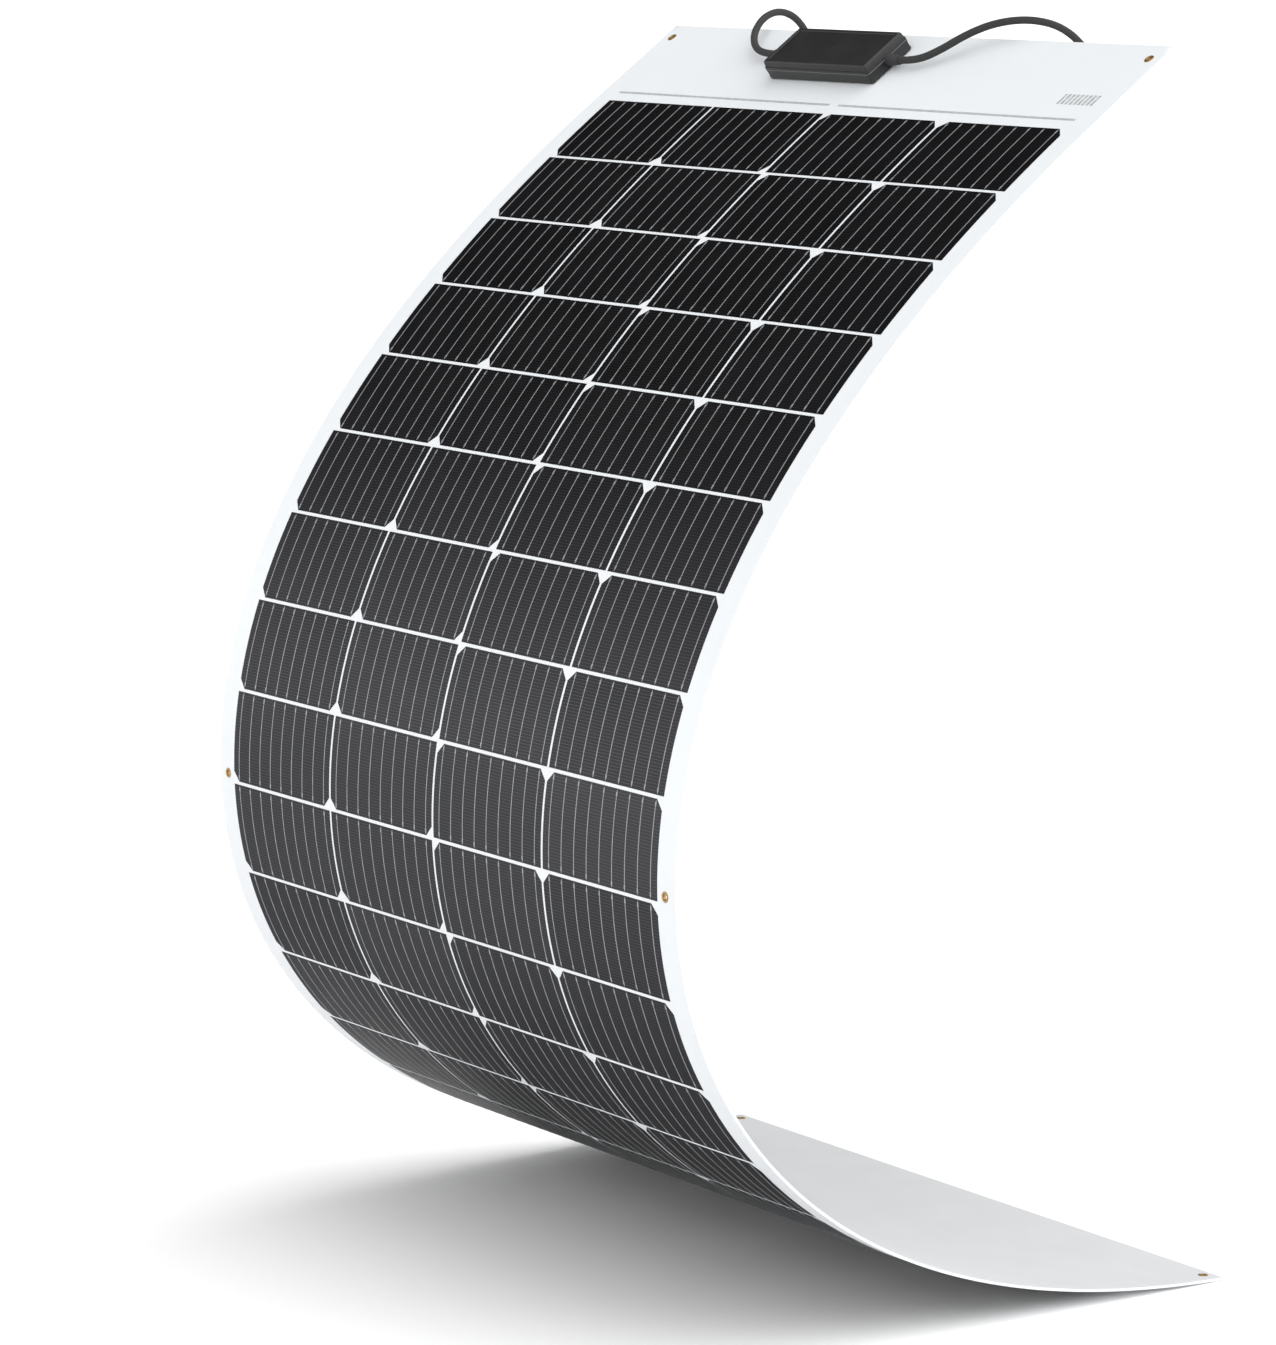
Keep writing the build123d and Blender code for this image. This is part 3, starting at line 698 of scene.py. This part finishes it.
def make_eyelets():
    """Rolled eyelets: a closed profile turned about the hole's axis.

    The profile runs over a half-elliptical lip, down the barrel's outside, round the other lip and
    back up the bore. A point is the hole's middle plus its radius round the sheet's two directions
    plus its height along the sheet's outward direction.
    """
    face = OUTER + EYELET_PLAY / 2
    angle = np.linspace(pi, 0, 9)
    lip_middle = (EYELET_BORE_RADIUS + EYELET_FLANGE_RADIUS) / 2
    lip_half = (EYELET_FLANGE_RADIUS - EYELET_BORE_RADIUS) / 2
    lip = np.stack([
        lip_middle + lip_half * np.cos(angle), face + EYELET_LIP_HEIGHT * np.sin(angle)], axis=-1)
    barrel = np.array([[EYELET_BARREL_RADIUS, face], [EYELET_BARREL_RADIUS, -face]])
    under = lip[::-1] * [1, -1]
    profile = np.concatenate([lip, barrel, under, lip[:1]])
    turn = np.linspace(0, 2 * pi, 40, endpoint=False)
    for place, down in EYELET_DOWN.items():
        _, _, here = bend(np.array(down), 0.0)
        along = np.array([sin(here), 0.0, -cos(here)])
        outwards = np.array([-cos(here), 0.0, -sin(here)])
        sideways = np.array([0.0, 1.0, 0.0])
        radius = profile[:, 0, None, None]
        around = np.cos(turn)[:, None] * sideways + np.sin(turn)[:, None] * along
        shape = radius * around + profile[:, 1, None, None] * outwards
        both = []
        for side in (-1, 1):
            rings = shape + on_sheet(side * EYELET_ACROSS, down, 0.0)
            both.append(loft(rings[::-1]))
        points = np.concatenate([points for points, _ in both])
        faces = np.concatenate([both[0][1], both[1][1] + len(both[0][0])])
        points, faces, _ = weld(points, faces)
        eyelets = build(f"{place}_rolled_eyelets", points, faces, [finish("rolled_brass")], crease=60.0)
        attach(eyelets, body_at(down))
        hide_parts(f"{place}_eyelets")


# ---- junction box and label ----
def rounded_rings(profile):
    """Rounded rectangles stacked over the header: each is inset and raised as the profile says.

    A corner's points are its centre plus its radius along each angle, and the inset shortens the
    sides and the radius alike.
    """
    per_corner = 7
    quarter = np.linspace(0, pi / 2, per_corner)
    angle = (np.arange(4)[:, None] * pi / 2 + quarter).ravel()
    way_x = np.repeat([1, -1, -1, 1], per_corner)
    way_y = np.repeat([1, 1, -1, -1], per_corner)
    inset = profile[:, :1]
    radius = np.maximum(BOX_CORNER - inset, 0.6 * MM)
    x = way_x * (BOX_LENGTH / 2 - inset - radius) + radius * np.cos(angle)
    y = way_y * (BOX_WIDTH / 2 - inset - radius) + radius * np.sin(angle)
    return on_sheet(BOX_ACROSS + x, TOP_EDGE + BOX_FROM_TOP + y, OUTER + profile[:, 1:])


def moulded_block(name, profile):
    """A closed moulding: the stack's walls, and each end closed by faces across its ring."""
    rings = rounded_rings(profile)
    points, faces = loft(rings)
    around = rings.shape[1]
    first = np.arange(around // 2 - 1)
    cap = np.stack([first, first + 1, around - 2 - first, around - 1 - first], axis=1)
    ends = np.concatenate([cap[:, ::-1], cap + len(points) - around])
    return build(name, points, np.concatenate([faces, ends]), [finish("box_plastic")], crease=40.0)


def make_junction_box():
    """The box's body with an eased foot and rim, and its lid with a lip, slopes and a sunk panel."""
    base = PAD_THICKNESS
    body = np.array([
        [1.2, 0.0], [0.3, 0.2], [0.0, 0.7], [0.0, 2.2], [0.35, 2.5], [0.35, 7.4], [0.0, 7.7],
        [0.0, 8.7], [0.3, 9.0],
    ]) * MM + [0, base]
    box = moulded_block("junction_box_body", body)
    start = base + BOX_BASE_HEIGHT + BOX_SEAL_THICKNESS
    lid = np.array([
        [0.4, 0.0], [0.0, 0.35], [0.0, 1.7], [0.3, 2.0], [0.8, 2.1], [1.5, 6.4], [1.9, 7.4],
        [2.8, 7.95], [5.2, 8.0], [5.6, 7.75], [5.8, 7.3], [6.4, 7.15],
    ]) * MM + [0, start]
    cover = moulded_block("junction_box_cover", lid)
    for piece, node in ((box, "junction_box_base"), (cover, "junction_box_lid")):
        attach(piece, BODIES[0])
        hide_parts(node)


def make_label():
    """A plain label on the header, a thin closed plate with its flat place kept for its print."""
    sizes = bpy.context.scene.solar_sheet_sizes
    over = np.linspace(-0.5, 0.5, 7) * sizes.label_length
    run = np.linspace(-0.5, 0.5, 3) * sizes.label_width
    local, faces = grids(np.stack(np.meshgrid(over, run), axis=-1)[None])
    places = local + [sizes.label_across, TOP_EDGE + sizes.label_from_top]
    points, faces, _ = plate(places, faces, OUTER - SINK, OUTER + 3 * SINK)
    label = build("data_label", points, faces, [finish("printed_label")])
    lay_out(label, "label_place", np.concatenate([local, local]))
    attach(label, BODIES[0])


def finish_carried_parts():
    """Gives every part that is shown as packed the finish of what it is moulded or stamped from."""
    wanted = {
        "adhesive_pad": "silicone_rubber",
        "junction_box_seal": "silicone_rubber",
        "terminal_rails": "tinned_ribbon",
        "bypass_diodes": "diode_epoxy",
        "cable_glands": "black_nylon",
        "coil_ties": "black_nylon",
        "connector_nuts": "black_nylon",
        "negative_connector": "box_plastic",
        "positive_connector": "box_plastic",
        "connector_contacts": "tinned_ribbon",
    }
    for node, name in wanted.items():
        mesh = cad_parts[node].data
        mesh.materials.clear()
        mesh.materials.append(finish(name))


# ---- cables ----
def coil_turns(coil, start_angle, turns):
    """Points of a tied coil's turns, from where the cable comes in to where its tail leaves.

    Seen from +X the cable runs clockwise. Its section lies on a small circle about the ring's own
    centreline and moves a third of the way round it in each turn, so that the passes lie beside
    each other as a rope's strands do.
    """
    per_turn = 16
    packing = 3.75 * MM  # three passes of cable touch when they stand this far from their middle
    across, behind, above = coil
    middle = from_edge(across, behind, above)
    # A smooth line cuts inside its points, so they stand a little further out.
    spread = 2 / (1 + cos(pi / per_turn))
    points = []
    for step in range(round(turns * per_turn) + 1):
        turn = step / per_turn
        angle = start_angle - 2 * pi * turn
        packed = pi - pi / 3 * turns + 2 * pi / 3 * turn
        radius = (COIL_RADIUS + packing * cos(packed)) * spread
        points.append(middle + [packing * sin(packed), radius * cos(angle), radius * sin(angle)])
    return points


def tail(coil, last):
    """Points of the tail that hangs from a coil's +Y side to its connector's nut."""
    across, behind, above = coil
    top = from_edge(across + COIL_RADIUS, behind, above)
    aside = last - top
    # How far down the tail each point is, and how much of the coil's offset it still keeps.
    falls = [(0.3, 1.1), (0.55, 0.6), (0.8, 0.1), (1.02, 0.0)]
    return [
        top + [aside[0] * keep, aside[1] * keep, -TAIL_LENGTH * share] for share, keep in falls]


NEAR_EXIT = BOX_ACROSS - BOX_LENGTH / 2 - GLAND_LENGTH
FAR_EXIT = BOX_ACROSS + BOX_LENGTH / 2 + GLAND_LENGTH
STUB = 22.0 * MM  # how far a cable runs straight out of its gland

# Points of each cable between its gland and its coil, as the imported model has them: across the
# sheet, behind its top edge and above it, in millimetres.
NEAR_POINTS = [
    (-84, -33, -10),
    (-106, -22, 4),
    (-131, -10, 14),
    (-158, 4, 17),
    (-181, 18, 11),
    (-198, 29, -6),
    (-206, 34, -28),
    (-204, 35, -50),
    (-191, 35, -67),
    (-168, 35, -76),
    (-137, 35, -77),
    (-103, 35, -72),
    (-67, 35, -65.5),
]
FAR_POINTS = [
    (178, -34, -12),
    (192, -22, 0),
    (199, -6, 11.5),
    (203, 14, 16),
    (206, 34, 9.5),
    (207.5, 49, -7),
    (208, 53, -29),
    (207, 50, -54),
]


def route(exit_across, way, points, coil, start_angle, turns):
    """A cable's whole line: out of its gland, over the top edge, round its coil and down its tail."""
    line = [over_header(exit_across, BOX_FROM_TOP, GLAND_HEIGHT)]
    line.append(over_header(exit_across + way * STUB, BOX_FROM_TOP, GLAND_HEIGHT))
    for across, behind, above in points:
        line.append(from_edge(across * MM, behind * MM, above * MM))
    turned = coil_turns(coil, start_angle, turns)
    return line + turned + tail(coil, turned[-1])


def cable(name, line, diameter):
    """One cable as a smooth curve through its line's control points."""
    curve = bpy.data.curves.new(name, "CURVE")
    curve.dimensions = "3D"
    spline = curve.splines.new("NURBS")
    spline.points.add(len(line) - 1)
    spline.points.foreach_set("co", np.c_[np.array(line), np.ones(len(line))].ravel())
    spline.order_u = 3
    spline.use_endpoint_u = True
    curve.resolution_u = 8
    curve.bevel_depth = diameter / 2
    curve.bevel_resolution = 5
    curve.use_fill_caps = True
    curve.materials.append(finish("cable_jacket"))
    piece = bpy.data.objects.new(name, curve)
    bpy.context.scene.collection.objects.link(piece)
    return piece


def make_cables():
    """The two leads, each from its gland round its coil and down its tail."""
    diameter = bpy.context.scene.solar_sheet_sizes.cable_diameter
    # Pole, gland, way out of it, points, coil, where on the coil it comes in, turns and length.
    leads = [
        ("negative", NEAR_EXIT, -1, NEAR_POINTS, NEAR_COIL, pi / 2, 2.25, 0.94),
        ("positive", FAR_EXIT, 1, FAR_POINTS, FAR_COIL, 0.0, 2.0, 0.69),
    ]
    for pole, exit_across, way, points, coil, start_angle, turns, length in leads:
        line = route(exit_across, way, points, coil, start_angle, turns)
        lead = cable(f"{pole}_lead", line, diameter)
        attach(lead, BODIES[0])
        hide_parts(f"{pole}_cable", f"{pole}_coil")
        carried = [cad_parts[f"{pole}_connector"]]
        if pole == "negative":
            shared = ("connector_nuts", "connector_contacts", "coil_ties")
            carried += [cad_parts[node] for node in shared]


# ---- stage ----
def make_camera():
    """A long-lens camera at the object's own viewing angle, level and without shift."""
    data = bpy.data.cameras.new("studio_camera")
    data.lens = 133.63
    data.sensor_width = 36.0
    data.sensor_fit = "AUTO"
    data.clip_start = 0.1
    data.clip_end = 600.0
    camera = bpy.data.objects.new("studio_camera", data)
    bpy.context.scene.collection.objects.link(camera)
    yaw = radians(54.886)
    dip = radians(9.071)
    forwards = Vector((cos(yaw) * cos(dip), sin(yaw) * cos(dip), -sin(dip)))
    turned = forwards.to_track_quat("-Z", "Y").to_matrix().to_4x4()
    camera.matrix_world = Matrix.Translation((-2.4537, -3.3783, 1.1645)) @ turned
    bpy.context.scene.camera = camera


def make_floor():
    """A wide pale floor, a flat grid at height 0."""
    reach = 250.0
    line = np.linspace(-reach, reach, 3)
    flat, faces = grids(np.stack(np.meshgrid(line, line), axis=-1)[None])
    points = np.c_[flat, np.zeros(len(flat))]
    material, tree, place = blank("painted_studio_floor")
    mottle = add_node(
        tree, "ShaderNodeTexNoise", {"Scale": 1 / 0.4, "Detail": 3.0}, {"Vector": place})
    tint = add_node(
        tree, "ShaderNodeMix",
        {"data_type": "RGBA", MIX_FIRST: opaque(linear("#fdfdfd")),
         MIX_SECOND: opaque(linear("#f9f9f9"))},
        {MIX_FACTOR: mottle.outputs["Fac"]})
    shader = add_node(
        tree, "ShaderNodeBsdfPrincipled", {"Roughness": 0.9, "Specular IOR Level": 0.1},
        {"Base Color": tint.outputs[MIX_RESULT]})
    add_node(tree, "ShaderNodeOutputMaterial", {}, {"Surface": shader.outputs[0]})
    floor = build("studio_floor", points, faces, [material])


def make_light():
    """White surroundings with one dark side high up, a soft key on the right and a fill in front.

    The sheet bends about Y only, so it reflects what lies on the far, +Y side: that side is left
    dark above the horizon, which keeps the cells deep, and the rest of the sky lights the whites.
    """
    world = bpy.data.worlds.new("studio_surroundings")
    world.use_nodes = True
    tree = world.node_tree
    tree.nodes.clear()
    direction = add_node(tree, "ShaderNodeTexCoord").outputs["Generated"]
    split = add_node(tree, "ShaderNodeSeparateXYZ", {}, {"Vector": direction})
    high = add_node(
        tree, "ShaderNodeMapRange",
        {"From Min": 0.02, "From Max": 0.4, "interpolation_type": "SMOOTHSTEP"},
        {"Value": split.outputs["Z"]})
    far = add_node(
        tree, "ShaderNodeMapRange",
        {"From Min": 0.15, "From Max": 0.55, "interpolation_type": "SMOOTHSTEP"},
        {"Value": split.outputs["Y"]})
    shade = add_node(
        tree, "ShaderNodeMath", {"operation": "MULTIPLY"}, {0: high.outputs[0], 1: far.outputs[0]})
    sky = add_node(
        tree, "ShaderNodeMapRange", {"To Min": 1.02, "To Max": 0.1}, {"Value": shade.outputs[0]})
    # Glows: which way each lies, the cosine from its middle where it starts and where it is full,
    # and its strength. The first lights the sheet's face; the steepest rows mirror the second.
    glows = [
        ((-0.3, -0.86, 0.4), 0.1, 0.95, 1.1),
        ((-0.58, 0.79, 0.1), 0.84, 0.99, 0.9),
    ]
    total = sky
    for way, start, full, strength in glows:
        facing = add_node(
            tree, "ShaderNodeVectorMath",
            {"operation": "DOT_PRODUCT", 1: Vector(way).normalized()}, {0: direction})
        glow = add_node(
            tree, "ShaderNodeMapRange",
            {"From Min": start, "From Max": full, "To Max": strength,
             "interpolation_type": "SMOOTHSTEP"},
            {"Value": facing.outputs["Value"]})
        total = add_node(tree, "ShaderNodeMath", {}, {0: total.outputs[0], 1: glow.outputs[0]})
    lit = add_node(tree, "ShaderNodeBackground", {}, {"Color": total.outputs[0]})
    add_node(tree, "ShaderNodeOutputWorld", {}, {"Surface": lit.outputs[0]})
    bpy.context.scene.world = world
    sun = bpy.data.lights.new("soft_key", "SUN")
    sun.energy = 1.1
    sun.angle = radians(80.0)
    lamp = bpy.data.objects.new("soft_key", sun)
    bpy.context.scene.collection.objects.link(lamp)
    towards = Vector((0.36, -0.4, 0.84)).normalized()
    lamp.matrix_world = towards.to_track_quat("Z", "Y").to_matrix().to_4x4()
    bpy.context.scene.view_settings.view_transform = "Standard"


# ---- panel values ----
def length_value(name, description, default):
    """A length that a user may change, kept in metres."""
    return bpy.props.FloatProperty(
        name=name, description=description, default=default, unit="LENGTH", precision=5)


def colour_value(name, description, code):
    """A colour that a user may change, given as an sRGB hex code."""
    return bpy.props.FloatVectorProperty(
        name=name, description=description, subtype="COLOR", default=linear(code))


class SolarSheetSizes(bpy.types.PropertyGroup):
    """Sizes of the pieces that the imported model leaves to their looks."""

    busbar_count: bpy.props.IntProperty(
        name="Busbars", description="Ribbons down each cell", default=9, min=1)
    cell_rise: length_value(
        "Cell rise", "How far a cell's face stands over the laminate", 0.15 * MM)
    busbar_width: length_value("Busbar width", "Width of a ribbon on a cell", 0.95 * MM)
    busbar_rise: length_value("Busbar rise", "Height of a ribbon over the cell", 0.12 * MM)
    busbar_inset: length_value("Busbar inset", "From a ribbon's end to the cell's edge", 1.2 * MM)
    pad_width: length_value("Solder pad width", "Across the ribbon", 1.7 * MM)
    pad_length: length_value("Solder pad length", "Along the ribbon", 3.0 * MM)
    finger_spacing: length_value(
        "Finger spacing", "Near 1.5 mm in truth; drawn wider so that it shows", 2.6 * MM)
    finger_width: length_value(
        "Finger width", "Near 0.05 mm in truth; drawn wider so that it shows", 0.3 * MM)
    end_ribbon_width: length_value(
        "End ribbon width", "Ribbons that join the strings", 2.6 * MM)
    label_length: length_value("Label length", "Across the sheet", 44.0 * MM)
    label_width: length_value("Label width", "Down the sheet", 13.0 * MM)
    label_across: length_value("Label place across", "From the sheet's middle line", -296.0 * MM)
    label_from_top: length_value("Label place down", "From the sheet's top edge", 74.0 * MM)
    cable_diameter: length_value("Cable diameter", "Outside of the jacket", 6.4 * MM)


class SolarSheetColours(bpy.types.PropertyGroup):
    """Colours of the finishes."""

    laminate: colour_value("Laminate", "White under the film", "#d6d9db")
    laminate_shade: colour_value("Laminate shade", "Where the resin lies thicker", "#cfd2d5")
    # The back sheet's two colours are a light grey, darker than its real white: painted shade of the
    # side turned from the light.
    back_sheet: colour_value("Back sheet", "Matte white of the back", "#c8c9ca")
    back_shade: colour_value("Back sheet shade", "Its greyer clouds", "#bfc0c2")
    cell: colour_value("Cell", "Darkest cells", "#39393b")
    cell_light: colour_value("Lighter cell", "Lightest cells", "#404042")
    finger: colour_value("Fingers", "Printed silver lines", "#8b8d92")
    ribbon: colour_value("Ribbon", "Tinned copper", "#9b9c9f")
    ribbon_shade: colour_value("Ribbon shade", "Duller tin", "#7f8083")
    covered_ribbon: colour_value("Covered ribbon", "Tin seen through milky film", "#cfd1d3")
    brass: colour_value("Brass", "Clean brass", "#bfa274")
    brass_tarnish: colour_value("Tarnish", "Browned brass", "#8a6636")
    box_plastic: colour_value("Box plastic", "Moulded black", "#0c0c0d")
    black_nylon: colour_value("Nylon", "Glands, nuts and ties", "#0f0f11")
    cable_jacket: colour_value("Cable jacket", "Extruded black", "#080809")
    silicone_rubber: colour_value("Silicone", "Seal and bedding", "#3a3b3d")
    diode_epoxy: colour_value("Diode epoxy", "Moulded diodes", "#1c1c1e")
    dust: colour_value("Dust", "Settled on black plastic", "#202022")
    label: colour_value("Label", "Vinyl", "#c9cbcd")
    label_ink: colour_value("Label bars", "Printed grey", "#4c4e51")


# ---- operators ----
class SOLARSHEET_OT_stage(bpy.types.Operator):
    """Make the camera, floor and light"""

    bl_idname = "solar_sheet.stage"
    bl_label = "Stage"

    def execute(self, context):
        make_camera()
        make_floor()
        make_light()
        return {"FINISHED"}


class SOLARSHEET_OT_cables(bpy.types.Operator):
    """Make the two leads with their coils"""

    bl_idname = "solar_sheet.cables"
    bl_label = "Cables"

    def execute(self, context):
        make_cables()
        return {"FINISHED"}


class SOLARSHEET_OT_laminate(bpy.types.Operator):
    """Make the white body of the sheet"""

    bl_idname = "solar_sheet.laminate"
    bl_label = "Laminate"

    def execute(self, context):
        make_boards()
        return {"FINISHED"}


class SOLARSHEET_OT_cells(bpy.types.Operator):
    """Make the half-cut cells"""

    bl_idname = "solar_sheet.cells"
    bl_label = "Cells"

    def execute(self, context):
        make_cells()
        return {"FINISHED"}


class SOLARSHEET_OT_busbars(bpy.types.Operator):
    """Make the ribbons and solder pads on the cells"""

    bl_idname = "solar_sheet.busbars"
    bl_label = "Busbars"

    def execute(self, context):
        make_busbars()
        return {"FINISHED"}


class SOLARSHEET_OT_end_ribbons(bpy.types.Operator):
    """Make the ribbons that join the strings"""

    bl_idname = "solar_sheet.end_ribbons"
    bl_label = "End ribbons"

    def execute(self, context):
        make_end_ribbons()
        return {"FINISHED"}


class SOLARSHEET_OT_eyelets(bpy.types.Operator):
    """Make the rolled eyelets"""

    bl_idname = "solar_sheet.eyelets"
    bl_label = "Eyelets"

    def execute(self, context):
        make_eyelets()
        return {"FINISHED"}


class SOLARSHEET_OT_junction_box(bpy.types.Operator):
    """Make the junction box's body and cover"""

    bl_idname = "solar_sheet.junction_box"
    bl_label = "Junction box"

    def execute(self, context):
        make_junction_box()
        return {"FINISHED"}


class SOLARSHEET_OT_label(bpy.types.Operator):
    """Make the plain label"""

    bl_idname = "solar_sheet.label"
    bl_label = "Label"

    def execute(self, context):
        make_label()
        return {"FINISHED"}


class SOLARSHEET_OT_carried_parts(bpy.types.Operator):
    """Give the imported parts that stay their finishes"""

    bl_idname = "solar_sheet.carried_parts"
    bl_label = "Carried parts"

    def execute(self, context):
        finish_carried_parts()
        return {"FINISHED"}


OPERATORS = (
    SOLARSHEET_OT_stage,
    SOLARSHEET_OT_cables,
    SOLARSHEET_OT_laminate,
    SOLARSHEET_OT_cells,
    SOLARSHEET_OT_busbars,
    SOLARSHEET_OT_end_ribbons,
    SOLARSHEET_OT_eyelets,
    SOLARSHEET_OT_junction_box,
    SOLARSHEET_OT_label,
    SOLARSHEET_OT_carried_parts,
)


class SOLARSHEET_PT_panel(bpy.types.Panel):
    """Sidebar panel with the sheet's pieces, sizes and colours"""

    bl_idname = "SOLARSHEET_PT_panel"
    bl_label = "Solar sheet"
    bl_space_type = "VIEW_3D"
    bl_region_type = "UI"
    bl_category = "Solar sheet"

    def draw(self, context):
        for operator in OPERATORS:
            self.layout.operator(operator.bl_idname)
        for group in (context.scene.solar_sheet_sizes, context.scene.solar_sheet_colours):
            column = self.layout.column(align=True)
            for name in group.__annotations__:
                column.prop(group, name)


CLASSES = (SolarSheetSizes, SolarSheetColours, *OPERATORS, SOLARSHEET_PT_panel)


def register():
    for cls in CLASSES:
        bpy.utils.register_class(cls)
    bpy.types.Scene.solar_sheet_sizes = bpy.props.PointerProperty(type=SolarSheetSizes)
    bpy.types.Scene.solar_sheet_colours = bpy.props.PointerProperty(type=SolarSheetColours)


def unregister():
    del bpy.types.Scene.solar_sheet_colours
    del bpy.types.Scene.solar_sheet_sizes
    for cls in reversed(CLASSES):
        bpy.utils.unregister_class(cls)


def main():
    """Makes every piece in order."""
    register()
    for operator in OPERATORS:
        group, name = operator.bl_idname.split(".")
        getattr(getattr(bpy.ops, group), name)()


if __name__ == "__main__":
    main()
